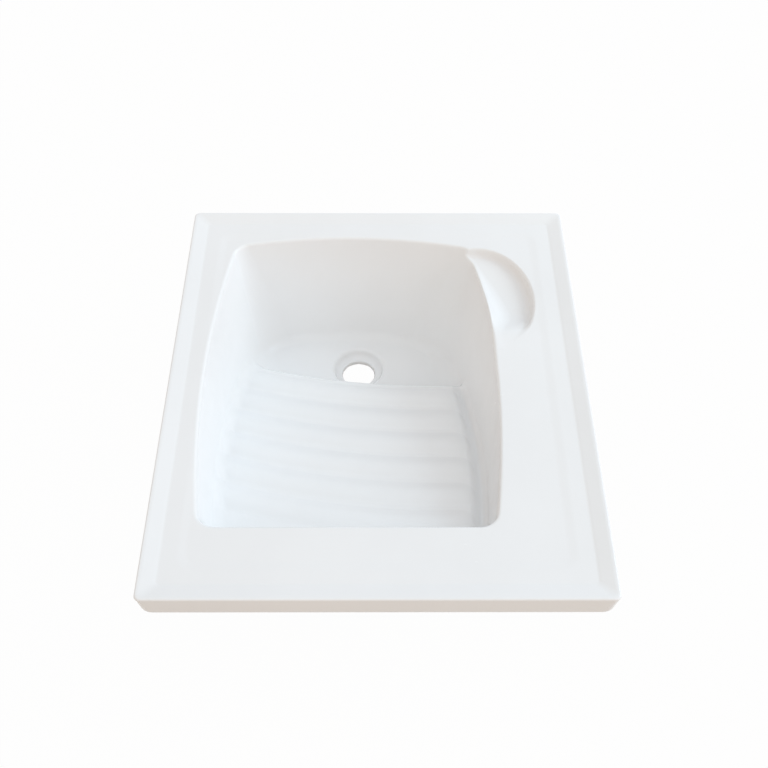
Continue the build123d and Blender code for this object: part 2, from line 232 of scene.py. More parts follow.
# Studio, in metres and watts: the tent's lobes as (side, colour), the lamp as (place, target,
# size, power, colour)
WHITE = (1.0, 1.0, 1.0, 1.0)
TENT = (
    ((0.0, 1.0, 0.0), (0.13, 0.14, 0.15)),
    ((1.0, 0.0, 0.0), (0.85, 0.74, 0.73)),
    ((-1.0, 0.0, 0.0), (0.48, 0.30, 0.17)),
    ((0.0, -1.0, 0.0), (0.52, 0.43, 0.33)),
    ((0.0, 0.0, 1.0), (0.57, 0.67, 0.74)),
)
SIDE_LAMP = ((2.8, 0.75, 1.65), (0.0, 0.0, 0.0), (1.9, 1.9), 37.0, (0.68, 0.89, 1.0))
FLOOR_SIZE = 12.0
FLOOR_GAP = 0.0003
FLOOR_LIGHT = (0.62, 0.55, 0.49, 1.0)
FLOOR_DARK = (0.57, 0.51, 0.45, 1.0)
FLOOR_GLOW = 0.98

# Camera of the photograph: metres, degrees and millimetres
CAMERA_PLACE = (0.0, -0.8673, 1.0267)
CAMERA_YAW = 0.49
CAMERA_PITCH = 49.4
CAMERA_ROLL = -0.38
CAMERA_LENS = 51.94
CAMERA_SENSOR = 36.0


def round_min(radius, *fields):
    """Common part of open spaces, its inner corners rounded."""
    total = sum(np.maximum(radius - f, 0.0) ** 2 for f in fields)
    return radius - np.sqrt(total)


def round_max(radius, *fields):
    """Union of open spaces, the edges that stay between them rounded."""
    return -round_min(radius, *[-f for f in fields])


def smooth_step(low, high, value):
    t = np.clip((value - low) / (high - low), 0.0, 1.0)
    return t * t * (3 - 2 * t)


def mix(a, b, t):
    return a + (b - a) * t


def bulge(t):
    """Height of a shallow arc along its chord, 1 in the middle and 0 at its ends."""
    return 1 - (2 * t - 1) ** 2


def right_bulge(t):
    """The right wall's bow along its chord, fuller towards the back."""
    return 1 - np.abs(2 * t - 1) ** np.where(t > 0.5, BOW_RIGHT_POWER, 2.0)


def left_bow(depth):
    return BOW_LEFT + (BOW_LEFT_FLOOR - BOW_LEFT) * depth / BOWL_DEPTH


def right_bow(depth):
    return BOW_RIGHT + (BOW_RIGHT_FLOOR - BOW_RIGHT) * depth / BOWL_DEPTH


def bowl_right_x(y, depth=0.0):
    """Where the bowl's right wall lies at a place along it and a depth below the deck."""
    t = (y - FRONT) / (BACK_RIGHT[1] - FRONT)
    bow = right_bow(depth) * right_bulge(t)
    return mix(RIGHT, BACK_RIGHT[0], t) + bow - mix(*LEAN_RIGHT, t) * depth


def bowl_walls(x, y, z, grow):
    """Open space between the four leaning walls of the bowl."""
    depth = DECK_Z - z
    front_y = FRONT + LEAN_FRONT * depth - grow
    left_back_y = BACK_LEFT[1] - LEAN_BACK * depth + grow
    right_back_y = BACK_RIGHT[1] - LEAN_BACK * depth + grow
    t = (y - front_y) / (left_back_y - front_y)
    left_lean = mix(*LEAN_LEFT, np.clip(t, 0.0, 1.0))
    bow = left_bow(depth) * bulge(t)
    left_x = mix(LEFT, BACK_LEFT[0], t) - bow + left_lean * depth - grow
    t = (y - front_y) / (right_back_y - front_y)
    right_lean = mix(*LEAN_RIGHT, np.clip(t, 0.0, 1.0))
    bow = right_bow(depth) * right_bulge(t)
    right_x = mix(RIGHT, BACK_RIGHT[0], t) + bow - right_lean * depth + grow
    back_low_x = BACK_LEFT[0] + LEAN_LEFT[1] * depth - grow
    back_high_x = BACK_RIGHT[0] - LEAN_RIGHT[1] * depth + grow
    t = (x - back_low_x) / (back_high_x - back_low_x)
    back_y = mix(left_back_y, right_back_y, t) + BOW_BACK * bulge(t)
    left = (x - left_x) / np.hypot(1, left_lean)
    right = (right_x - x) / np.hypot(1, right_lean)
    back = (back_y - y) / math.hypot(1, LEAN_BACK)
    front = (y - front_y) / math.hypot(1, LEAN_FRONT)
    share = np.clip(depth / BOWL_DEPTH, 0.0, 1.0)
    front_corner = mix(CORNER_FRONT[0], CORNER_FRONT[1], share) + grow
    back_corner = mix(CORNER_BACK[0], CORNER_BACK[1], share) + grow
    corner = mix(front_corner, back_corner, smooth_step(*CORNER_CHANGE_Y, y))
    return round_min(corner, left, right, back, front)


def rib_rise(x, along):
    """Height of the ribs over the washboard's face, from the place on that face."""
    rise = np.zeros_like(x)
    for index in range(RIB_COUNT):
        apex_y = RIB_FIRST_Y - index * RIB_PITCH
        centre = (apex_y - BOARD_FAR_Y) * BOARD_TILT + RIB_PATH_RADIUS
        depth = DECK_Z - BOARD_FAR_Z - BOARD_SLOPE * (BOARD_FAR_Y - apex_y)
        end_x = bowl_right_x(apex_y, depth) - RIB_END_GAP - RIB_WIDTH / 2
        across = np.hypot(x - BOARD_APEX_X, along - centre) - RIB_PATH_RADIUS
        past_end = np.maximum(x - end_x, 0.0)
        offset = np.hypot(across, past_end) / (RIB_WIDTH / 2)
        section = np.cos(np.clip(offset, 0, 1) * math.pi / 2) ** RIB_POWER
        rise = np.maximum(rise, RIB_HEIGHT * section)
    return rise


def trough_sink(x, y):
    """Depth of the channel between the ribs' ends and the right wall, from the place in plan."""
    depth = DECK_Z - BOARD_FAR_Z - BOARD_SLOPE * (BOARD_FAR_Y - y)
    centre = bowl_right_x(y, depth) - TROUGH_INSET
    across = np.clip(np.abs(x - centre) / TROUGH_HALF, 0.0, 1.0)
    fade = [BOARD_FAR_Y + past for past in TROUGH_FADE_PAST_EDGE]
    ends = smooth_step(*TROUGH_FRONT_Y, y) * smooth_step(*fade, y)
    return TROUGH_DEPTH * (0.5 + 0.5 * np.cos(math.pi * across)) * ends


def far_edge_y(x):
    """The washboard's curved far edge, in plan."""
    return BOARD_FAR_Y + BOARD_FAR_RADIUS - np.sqrt(BOARD_FAR_RADIUS**2 - (x - BOARD_APEX_X) ** 2)


def board_space(x, y, z, grow):
    """Open space over the washboard's face and behind its far edge."""
    face_z = BOARD_FAR_Z - BOARD_SLOPE * (y - BOARD_FAR_Y)
    over = (z - face_z) / BOARD_TILT + grow + trough_sink(x, y)
    if grow == 0:
        along = (y - BOARD_FAR_Y) * BOARD_TILT
        over = over - rib_rise(x, along) * smooth_step(0.0, -RIB_FADE, y - far_edge_y(x))
    centre_y = BOARD_FAR_Y - grow + BOARD_FAR_RADIUS
    behind = BOARD_FAR_RADIUS - np.hypot(x - BOARD_APEX_X, y - centre_y)
    behind = behind - BOARD_EDGE_DRAFT * (BOARD_FAR_Z - z)
    return round_max(BOARD_EDGE_ROUND - grow, over, behind)


def bowl_space(x, y, z, grow):
    """Open space of the bowl, its creases rounded: tightly by the channel, widely beside the pit."""
    change_y = [BOARD_FAR_Y + past for past in CREASE_CHANGE_PAST_EDGE]
    on_board = smooth_step(*change_y, y) * smooth_step(*CREASE_CHANGE_X, x)
    crease = mix(BOWL_ROUND, TROUGH_ROUND, on_board)
    side_round = mix(*PIT_ROUND, smooth_step(*PIT_CHANGE_X, x))
    pit_round = mix(BOWL_ROUND, side_round, smooth_step(*PIT_CHANGE_Y, y))
    pit = round_min(pit_round, bowl_walls(x, y, z, grow), z - FLOOR_Z + grow)
    return round_min(crease, pit, board_space(x, y, z, grow))


def recess_space(x, y, z, grow):
    """Open space of the drain's recess. On the upper face it runs on into the rounded bore."""
    radius = np.hypot(x - DRAIN[0], y - DRAIN[1])
    inside = RECESS_RADIUS + grow - radius - RECESS_DRAFT * (FLOOR_Z - z)
    above = z - (FLOOR_Z - RECESS_DEPTH - grow)
    recess = round_min(RECESS_ROUND, inside, above)
    if grow == 0:
        bore = np.minimum(DRAIN_RADIUS - radius, above + 2 * DRAIN_ROUND)
        recess = round_max(DRAIN_ROUND, recess, bore)
    return recess


def dish_space(x, y, z, grow):
    """Open space of the soap dish: outer wall, bank on the bowl's side, floor and front ramp."""
    u = (x - DISH[0]) / DISH_HALF[0]
    v = (y - DISH[1]) / DISH_HALF[1]
    size = np.sqrt(u * u + v * v) + 1e-9
    slope = np.hypot(u / DISH_HALF[0], v / DISH_HALF[1]) / size + 1e-9
    outer = (1 - size) / slope + grow
    lean = mix(DISH_LEAN_SIDE, DISH_LEAN_BACK, smooth_step(*DISH_LEAN_CHANGE, v / size))
    outer = (outer - lean * (DECK_Z - z)) / np.hypot(1, lean)
    ridge_x, ridge_z = ridge_line(y)
    bank = z - ridge_z + grow + (x - ridge_x) / DISH_BANK_LEAN
    bank = bank / math.hypot(1, 1 / DISH_BANK_LEAN)
    rise = (DISH_RAMP_TOP - DISH_FLOOR_Z) * smooth_step(DISH_RAMP_Y, DISH_FRONT_Y, y)
    rise = rise + DISH_BACK_RISE * smooth_step(*DISH_BACK_Y, y)
    floor = z - (DISH_FLOOR_Z - grow + rise)
    return round_min(DISH_ROUND, outer, bank, floor)


def ridge_line(y):
    """Place and height of the crest between the bowl and the soap dish."""
    t = (y - RIDGE_Y[0]) / (RIDGE_Y[1] - RIDGE_Y[0])
    sink = RIDGE_SINK * smooth_step(*RIDGE_SINK_CHANGE, t)
    return bowl_right_x(y, sink) + RIDGE_OUT, DECK_Z - sink


def deck_height(x, y):
    """The deck inside the lip, with the faint ledge round it."""
    dx = np.abs(x) - (RIM_WIDTH / 2 - LEDGE_INSET - LEDGE_CORNER)
    dy = np.abs(y) - (RIM_DEPTH / 2 - LEDGE_INSET - LEDGE_CORNER)
    outside = np.hypot(np.maximum(dx, 0), np.maximum(dy, 0))
    outside = outside + np.minimum(np.maximum(dx, dy), 0) - LEDGE_CORNER
    return DECK_Z + LEDGE_RISE * smooth_step(-LEDGE_SLOPE / 2, LEDGE_SLOPE / 2, outside)


def upper_space(x, y, z):
    """Open space over the moulding. Its edge is the surface that the user sees."""
    bowl = bowl_space(x, y, z, 0.0)
    bowl = round_max(RECESS_EDGE_ROUND, bowl, recess_space(x, y, z, 0.0))
    hollow = round_max(RIDGE_ROUND, bowl, dish_space(x, y, z, 0.0))
    return round_max(OPENING_ROUND, hollow, z - deck_height(x, y))


def lower_space(x, y, z):
    """Everything over the moulding's underside."""
    bowl = bowl_space(x, y, z, WALL)
    bowl = round_max(UNDER_EDGE_ROUND, bowl, recess_space(x, y, z, WALL))
    hollow = round_max(UNDER_EDGE_ROUND, bowl, dish_space(x, y, z, WALL))
    return round_max(UNDER_OPENING_ROUND, hollow, z - DECK_UNDER_Z)


def surface_height(space, x, y):
    """Where the open space begins, going up, by halving."""
    low = np.full_like(x, FLOOR_Z - 3 * WALL - RECESS_DEPTH)
    high = np.full_like(x, RIM_HEIGHT)
    for _ in range(HEIGHT_HALVINGS):
        z = (low + high) / 2
        is_open = space(x, y, z) > 0
        high = np.where(is_open, z, high)
        low = np.where(is_open, low, z)
    return (low + high) / 2


def surface_normals(space, points, down):
    """Unit normals from the slope of the space."""
    step = 0.05
    x, y, z = points.T
    normal = np.stack(
        [
            space(x + step, y, z) - space(x - step, y, z),
            space(x, y + step, z) - space(x, y - step, z),
            space(x, y, z + step) - space(x, y, z - step),
        ],
        axis=1,
    )
    normal /= np.linalg.norm(normal, axis=1, keepdims=True) + 1e-12
    return -normal if down else normal


def bowl_outline(depth, grow, spacing):
    """Points round the bowl at a depth, found by halving on rays from its centre."""
    count = int(BOWL_GIRTH / spacing)
    turn = np.linspace(0, 2 * math.pi, count, endpoint=False)
    ray_x, ray_y = np.cos(turn), np.sin(turn)
    z = DECK_Z - np.broadcast_to(depth, (count,)).astype(float)
    near = np.zeros(count)
    far = np.full(count, BOWL_REACH)
    for _ in range(OUTLINE_HALVINGS):
        reach = (near + far) / 2
        x = BOWL_CENTRE[0] + ray_x * reach
        y = BOWL_CENTRE[1] + ray_y * reach
        inside = bowl_walls(x, y, z, grow) > 0
        near = np.where(inside, reach, near)
        far = np.where(inside, far, reach)
    return np.stack([BOWL_CENTRE[0] + ray_x * near, BOWL_CENTRE[1] + ray_y * near], axis=1)


def rounded_rectangle(inset, corner, side_count, end_count, corner_count):
    """Ring of points round the rim, with the same count for every inset and corner."""
    half_x = RIM_WIDTH / 2 - inset
    half_y = RIM_DEPTH / 2 - inset
    corners = (
        (1, 1, 0, end_count),
        (-1, 1, 90, side_count),
        (-1, -1, 180, end_count),
        (1, -1, 270, side_count),
    )
    ring = []
    for index, (side_x, side_y, start, count) in enumerate(corners):
        for k in range(corner_count + 1):
            angle = math.radians(start + 90 * k / corner_count)
            x = side_x * (half_x - corner) + corner * math.cos(angle)
            y = side_y * (half_y - corner) + corner * math.sin(angle)
            ring.append((x, y))
        next_x, next_y = corners[(index + 1) % 4][:2]
        if start in (0, 180):
            end = (next_x * (half_x - corner), next_y * half_y)
        else:
            end = (next_x * half_x, next_y * (half_y - corner))
        first = np.array(ring[-1])
        for k in range(1, count):
            ring.append(tuple(mix(first, np.array(end), k / count)))
    return np.array(ring)


def thin_out(points, keep_clear, gap):
    """Points that lie at least a gap away from every point of the other set."""
    taken = {}
    for px, py in keep_clear:
        taken.setdefault((int(px // gap), int(py // gap)), []).append((px, py))
    kept = []
    for px, py in points:
        cx, cy = int(px // gap), int(py // gap)
        near = False
        for i in (-1, 0, 1):
            for j in (-1, 0, 1):
                for qx, qy in taken.get((cx + i, cy + j), ()):
                    if (px - qx) ** 2 + (py - qy) ** 2 < gap * gap:
                        near = True
        if not near:
            kept.append((px, py))
    return np.array(kept).reshape(-1, 2)


def grid(x_low, x_high, y_low, y_high, spacing):
    """Points in rows, every second row moved on by half a step."""
    xs = np.arange(x_low, x_high + spacing / 2, spacing)
    ys = np.arange(y_low, y_high + spacing / 2, spacing)
    gx, gy = np.meshgrid(xs, ys)
    gx = gx + (np.arange(len(ys)) % 2)[:, None] * spacing / 2
    return np.stack([gx.ravel(), gy.ravel()], axis=1)


def circle(centre, radius, spacing):
    count = max(48, int(2 * math.pi * radius / spacing))
    angle = np.linspace(0, 2 * math.pi, count, endpoint=False)
    return np.array(centre) + radius * np.stack([np.cos(angle), np.sin(angle)], axis=1)


def wall_rings(grow, spacing):
    """Rings down the bowl's walls, as deep as each stretch of wall goes and on past its foot."""
    y = bowl_outline(0.0, grow, spacing)[:, 1]
    board_depth = DECK_Z - BOARD_FAR_Z - BOARD_SLOPE * (BOARD_FAR_Y - y)
    foot = mix(board_depth, BOWL_DEPTH, smooth_step(*FOOT_CHANGE_Y, y)) + grow
    depths = list(EDGE_LEVELS)
    for share in np.linspace(0.08, 1.0, 26):
        depths.append(np.maximum(share * (foot - 12.0), 9.0 + 6.0 * share))
    for past in np.linspace(-8.0, 52.0, 16):
        depths.append(foot + past)
    return [bowl_outline(depth, grow, spacing) for depth in depths]


def board_rows(spacing_x, spacing_y):
    """Rows over the washboard and the pit's floor, closest where they follow the far edge."""
    stretches = (
        (-290.0, -12.0, spacing_y),
        (-12.0, -1.0, 0.8),
        (-0.6, 3.2, 0.4),
        (3.8, 18.0, 1.2),
        (19.0, 107.0, 4.0),
    )
    xs = np.arange(*BOARD_X, spacing_x)
    edge = far_edge_y(xs)
    steps = np.concatenate([np.arange(*stretch) for stretch in stretches])
    return np.concatenate([np.column_stack([xs, edge + step]) for step in steps])


def inside_outline(points, outline, margin):
    """Points inside a star-shaped outline walked round by equal turns, kept a margin off it."""
    centre = np.array(BOWL_CENTRE)
    count = len(outline)
    offset = points - centre
    turn = np.mod(np.arctan2(offset[:, 1], offset[:, 0]), 2 * math.pi) / (2 * math.pi) * count
    reach = np.linalg.norm(outline - centre, axis=1)
    index = np.floor(turn).astype(int) % count
    part = turn - np.floor(turn)
    limit = mix(reach[index], reach[(index + 1) % count], part)
    return points[np.linalg.norm(offset, axis=1) < limit - margin]


def dish_points(grow, spacing):
    """Rings that follow the dish's outer edge, and a fine grid over the rest of it."""
    turn = np.radians(np.arange(*DISH_TURN))
    rings = []
    for inset in DISH_INSETS:
        x = DISH[0] + (DISH_HALF[0] + grow - inset) * np.cos(turn)
        y = DISH[1] + (DISH_HALF[1] + grow - inset) * np.sin(turn)
        rings.append(np.stack([x, y], axis=1))
    field = grid(*DISH_FIELD, spacing)
    u = (field[:, 0] - DISH[0]) / (DISH_HALF[0] + grow - DISH_RING_DEPTH)
    v = (field[:, 1] - DISH[1]) / (DISH_HALF[1] + grow - DISH_RING_DEPTH)
    past_bowl = field[:, 0] > bowl_right_x(field[:, 1]) - 8.0
    return np.concatenate(rings), field[(np.hypot(u, v) < 1) & past_bowl]


def sheet_points(grow, spacing):
    """Plan of the points that carry one face of the moulding, inside the rim."""
    rings = wall_rings(grow, spacing)
    outer = bowl_outline(0.0, grow, spacing)
    away = outer - np.array(BOWL_CENTRE)
    away = away / np.linalg.norm(away, axis=1, keepdims=True)
    edge = [outer + away * inset for inset in OPENING_INSETS]
    dish_rings, dish_field = dish_points(grow, DISH_SPACING)
    drain = [circle(DRAIN, radius + grow, spacing) for radius in DRAIN_RINGS]
    drain.append(circle(DRAIN, DRAIN_RADIUS, BORE_SPACING))
    drain = np.concatenate(drain)
    dish = np.concatenate([dish_rings, dish_field])
    strong = thin_out(np.concatenate(edge + rings), dish, gap=1.2)
    strong = thin_out(strong, drain, gap=1.2)
    rows = board_rows(*(BOARD_SPACING if grow == 0 else BOARD_SPACING_UNDER))
    inner = inside_outline(rows, rings[-1], margin=1.5)
    from_drain = np.hypot(inner[:, 0] - DRAIN[0], inner[:, 1] - DRAIN[1])
    inner = inner[from_drain > RECESS_RADIUS + grow + 6.0]
    used = np.concatenate([dish, strong, drain, inner])
    ledge = np.zeros((0, 2))
    if grow == 0:
        ledge = [
            rounded_rectangle(LEDGE_INSET + inset, LEDGE_CORNER, *LEDGE_COUNTS)
            for inset in LEDGE_INSETS
        ]
        ledge = thin_out(np.concatenate(ledge), used, gap=3.0)
    coarse = grid(*DECK_FIELD, DECK_SPACING)
    coarse = thin_out(coarse, np.concatenate([used, ledge]), gap=5.0)
    in_bowl = set(map(tuple, inside_outline(coarse, outer, margin=-4.0)))
    coarse = np.array([point for point in coarse if tuple(point) not in in_bowl])
    return np.concatenate([used, ledge, coarse])


def sheet(space, grow, spacing, border, border_z, bore_z, down):
    """Triangles of one face of the moulding inside a border ring, with the drain left open."""
    half_x, half_y = np.max(border, axis=0)
    loose = sheet_points(grow, spacing)
    loose = loose[(np.abs(loose[:, 0]) < half_x - 1.0) & (np.abs(loose[:, 1]) < half_y - 1.0)]
    plan = np.concatenate([border, loose])
    loop = list(range(len(border)))
    result = geometry.delaunay_2d_cdt([Vector(p) for p in plan.tolist()], [], [loop], 1, 1e-4, True)
    sources = np.array([ids[0] for ids in result[3]])
    points = plan[sources]
    faces = np.array(result[2])
    centres = points[faces].mean(axis=1)
    faces = faces[np.hypot(*(centres - DRAIN).T) > DRAIN_RADIUS - 0.2]
    z = surface_height(space, points[:, 0], points[:, 1])
    on_bore = np.abs(np.hypot(*(points - DRAIN).T) - DRAIN_RADIUS) < 0.01
    z[on_bore] = bore_z
    z[sources < len(border)] = border_z
    points = np.column_stack([points, z])
    normals = surface_normals(space, points, down)
    normals[sources < len(border)] = (0.0, 0.0, -1.0 if down else 1.0)
    if not down:
        inward = (DRAIN - points[on_bore, :2]) / DRAIN_RADIUS
        normals[on_bore] = np.column_stack([inward, np.zeros(len(inward))])
    return points, faces[:, ::-1] if down else faces, normals


def rim_profile():
    """Loops round the rim as (inset, height, corner), from the deck over the lip to its foot."""
    lip_foot = CREST_WIDTH + LIP_SLOPE_WIDTH
    top = RIM_HEIGHT
    deck = DECK_Z + LEDGE_RISE
    slope = (top - deck) / LIP_SLOPE_WIDTH
    steps = [(lip_foot + d, deck, LIP_FOOT_CORNER) for d in (3.0, 1.6)]
    for d in (0.6, -0.5, -1.6):
        height = deck + slope * max(0.0, 0.6 - d) ** 2 / 4.4
        steps.append((lip_foot + d, height, LIP_FOOT_CORNER))
    for share in np.linspace(0.15, 0.92, 8):
        inset = mix(lip_foot, CREST_WIDTH, share)
        corner = mix(LIP_FOOT_CORNER, CREST_CORNER, share)
        steps.append((inset, deck + slope * (lip_foot - inset), corner))
    steps += [
        (CREST_WIDTH + 0.6, top - 0.14, CREST_CORNER),
        (CREST_WIDTH - 0.4, top - 0.02, CREST_CORNER),
        (CREST_WIDTH - 1.4, top, CREST_CORNER),
        (EDGE_ROUND + 0.2, top, CREST_CORNER),
    ]
    for angle in np.linspace(8, 88, 8):
        turn = math.radians(angle)
        inset = EDGE_ROUND - EDGE_ROUND * math.sin(turn) + VISUAL_INSET
        height = top - EDGE_ROUND + EDGE_ROUND * math.cos(turn)
        steps.append((inset, height, CREST_CORNER))
    lean = FOOT_INSET / RIM_HEIGHT
    for height in (22.5, 20.0, 15.0, 10.0, 5.0, 1.6, 0.7):
        inset = VISUAL_INSET + lean * (RIM_HEIGHT - height)
        steps.append((inset, height, mix(CREST_CORNER, FOOT_CORNER, 1 - height / RIM_HEIGHT)))
    inner = FOOT_INSET + WALL
    steps += [
        (FOOT_INSET + 0.25, 0.2, FOOT_CORNER),
        (FOOT_INSET + 0.8, 0.0, FOOT_CORNER - 0.5),
        (inner - 0.8, 0.0, 11.0),
        (inner - 0.2, 0.25, 10.5),
        (inner, 0.9, 10.5),
        (inner, 5.0, 10.5),
        (inner, 10.0, 10.5),
        (inner, 14.5, 10.5),
        (inner, 15.6, 10.5),
        (inner + 0.3, DECK_UNDER_Z - 0.3, 10.2),
        (inner + 0.9, DECK_UNDER_Z, 9.6),
        (inner + 2.0, DECK_UNDER_Z, 8.5),
    ]
    return steps


def ring_faces(ring_count, count):
    """Quads between closed rings of the same count, one after the other."""
    faces = []
    for k in range(ring_count - 1):
        for i in range(count):
            j = (i + 1) % count
            faces.append((k * count + i, (k + 1) * count + i, (k + 1) * count + j, k * count + j))
    return np.array(faces)


def face_normals(points, faces):
    """Unit normals at the points, from the faces round each of them."""
    a, b, c, d = (points[faces[:, k]] for k in range(4))
    across = np.cross(c - a, d - b)
    normals = np.zeros_like(points)
    for k in range(4):
        np.add.at(normals, faces[:, k], across)
    return normals / (np.linalg.norm(normals, axis=1, keepdims=True) + 1e-12)


def joined_mesh(name, parts):
    """One mesh from (points, faces, normals, material index), joined where their points meet."""
    points = np.concatenate([part[0] for part in parts])
    _, first, merged = np.unique(
        np.round(points, 4), axis=0, return_index=True, return_inverse=True
    )
    merged = merged.ravel()
    corners, slots, corner_normals = [], [], []
    start = 0
    for part_points, faces, normals, slot in parts:
        for face in faces:
            corners.append([int(merged[start + i]) for i in face])
            corner_normals += [tuple(normals[i]) for i in face]
            slots.append(slot)
        start += len(part_points)
    mesh = bpy.data.meshes.new(name)
    mesh.from_pydata((points[first] * MM).tolist(), [], corners)
    mesh.polygons.foreach_set("material_index", slots)
    mesh.polygons.foreach_set("use_smooth", [True] * len(corners))
    mesh.update()
    mesh.normals_split_custom_set(corner_normals)
    return mesh


def basin_mesh():
    """The moulding: both faces, the rim between them and the drain's bore."""
    profile = rim_profile()
    rings = [rounded_rectangle(inset, corner, *RIM_COUNTS) for inset, _, corner in profile]
    count = len(rings[0])
    rim = np.concatenate(
        [np.column_stack([ring, np.full(count, step[1])]) for ring, step in zip(rings, profile)]
    )
    rim_faces = ring_faces(len(rings), count)
    bore = circle(DRAIN, DRAIN_RADIUS, BORE_SPACING)
    bore_z = FLOOR_Z - RECESS_DEPTH - np.linspace(DRAIN_ROUND, WALL, 4)
    bore_points = np.concatenate([np.column_stack([bore, np.full(len(bore), z)]) for z in bore_z])
    bore_faces = ring_faces(len(bore_z), len(bore))[:, ::-1]
    upper = sheet(upper_space, 0.0, UPPER_SPACING, rings[0], profile[0][1], bore_z[0], down=False)
    lower = sheet(lower_space, WALL, LOWER_SPACING, rings[-1], DECK_UNDER_Z, bore_z[-1], down=True)
    parts = [
        (*upper, 0),
        (rim, rim_faces, face_normals(rim, rim_faces), 0),
        (bore_points, bore_faces, face_normals(bore_points, bore_faces), 0),
        (*lower, 1),
    ]
    return joined_mesh("basin_shell", parts)


def stud_mesh(length):
    """A fully threaded stud, standing on z = 0, its thread cut off by a chamfer at both ends."""
    turn = np.linspace(0, 2 * math.pi, STUD_SIDES, endpoint=False)
    heights = np.arange(0.0, length + 1e-6, THREAD_PITCH / THREAD_STEPS)
    rings = []
    for height in heights:
        phase = np.mod(height / THREAD_PITCH - turn / (2 * math.pi), 1.0)
        crest = STUD_RADIUS - THREAD_DEPTH * np.clip(np.abs(2 * phase - 1) * 1.35 - 0.15, 0, 1)
        end = min(height, length - height)
        crest = np.minimum(crest, STUD_RADIUS - THREAD_DEPTH + end)
        level = np.full(STUD_SIDES, height)
        rings.append(np.column_stack([crest * np.cos(turn), crest * np.sin(turn), level]))
    faces = ring_faces(len(rings), STUD_SIDES)[:, ::-1].tolist()
    last = (len(rings) - 1) * STUD_SIDES
    faces.append(list(range(STUD_SIDES))[::-1])
    faces.append([last + i for i in range(STUD_SIDES)])
    mesh = bpy.data.meshes.new("threaded_stud")
    mesh.from_pydata((np.concatenate(rings) * MM).tolist(), [], faces)
    mesh.update()
    return mesh


class Look:
    """A procedural material: a Principled shader fed by noise read at the piece's own place."""

    def __init__(self, name, **constants):
        self.material = bpy.data.materials.new(name)
        self.material.use_nodes = True
        self.tree = self.material.node_tree
        self.shader = self.tree.nodes["Principled BSDF"]
        self.place = self.tree.nodes.new("ShaderNodeTexCoord").outputs["Object"]
        for socket, value in constants.items():
            self.shader.inputs[socket.replace("_", " ")].default_value = value

    def node(self, kind, inputs=None, **settings):
        node = self.tree.nodes.new(kind)
        for key, value in settings.items():
            setattr(node, key, value)
        for key, value in (inputs or {}).items():
            if isinstance(value, bpy.types.NodeSocket):
                self.tree.links.new(value, node.inputs[key])
            else:
                node.inputs[key].default_value = value
        return node

    def stretched(self, x, y, z):
        """The place with its axes scaled, so that noise runs along a grain."""
        return self.node("ShaderNodeMapping", {"Vector": self.place, "Scale": (x, y, z)}).outputs[0]

    def noise(self, scale, detail=3.0, rough=0.55, place=None):
        inputs = {"Vector": place or self.place, "Scale": scale}
        inputs.update({"Detail": detail, "Roughness": rough})
        return self.node("ShaderNodeTexNoise", inputs).outputs["Fac"]

    def spread(self, value, low, high, to_low=0.0, to_high=1.0):
        inputs = {0: value, 1: low, 2: high, 3: to_low, 4: to_high}
        return self.node("ShaderNodeMapRange", inputs).outputs[0]

    def math(self, operation, a, b=0.0):
        return self.node("ShaderNodeMath", {0: a, 1: b}, operation=operation).outputs[0]

    def blend(self, share, first, second):
        inputs = {0: share, 6: first, 7: second}
        return self.node("ShaderNodeMix", inputs, data_type="RGBA").outputs[2]

    def finish(self, colour, roughness, bumps):
        """Links the colour, the roughness and the bumps, each bump as (height, metres)."""
        self.tree.links.new(colour, self.shader.inputs["Base Color"])
        self.tree.links.new(roughness, self.shader.inputs["Roughness"])
        normal = None
        for height, distance in bumps:
            inputs = {"Height": height, "Distance": distance, "Strength": 1.0}
            if normal is not None:
                inputs["Normal"] = normal
            normal = self.node("ShaderNodeBump", inputs).outputs[0]
        if normal is not None:
            self.tree.links.new(normal, self.shader.inputs["Normal"])
        return self.material


def gelcoat_look():
    """Glossy white gelcoat: faint clouding, a painted highlight on its convex edges, a few matt
    scuffs and an orange-peel skin.
    """
    look = Look("gelcoat", Specular_IOR_Level=0.5, IOR=1.5, Coat_Weight=0.0)
    cloud = look.spread(look.noise(5.0, detail=4.0), 0.35, 0.65)
    colour = look.blend(cloud, GELCOAT_LIGHT, GELCOAT_DARK)
    grain = look.spread(look.noise(900.0, detail=2.0), 0.62, 0.75, 0.0, 0.35)
    colour = look.blend(grain, colour, GELCOAT_FLECK)
    # Convex edges, found by pointiness, are made lighter: a painted highlight
    edge = look.node("ShaderNodeNewGeometry").outputs["Pointiness"]
    colour = look.blend(look.spread(edge, 0.52, 0.60, 0.0, 0.5), colour, GELCOAT_EDGE_HIGHLIGHT)
    scuffs = look.noise(60.0, detail=6.0, rough=0.7, place=look.stretched(1.0, 3.2, 1.0))
    scuffs = look.spread(scuffs, 0.58, 0.72)
    smudge = look.spread(look.noise(11.0, detail=3.0), 0.3, 0.7, 0.17, 0.24)
    rough = look.math("ADD", smudge, look.math("MULTIPLY", scuffs, 0.06))
    peel = look.noise(420.0, detail=1.0, rough=0.4)
    ripple = look.noise(26.0, detail=1.0, rough=0.4)
    return look.finish(colour, rough, [(ripple, 0.0004), (peel, 0.00002)])


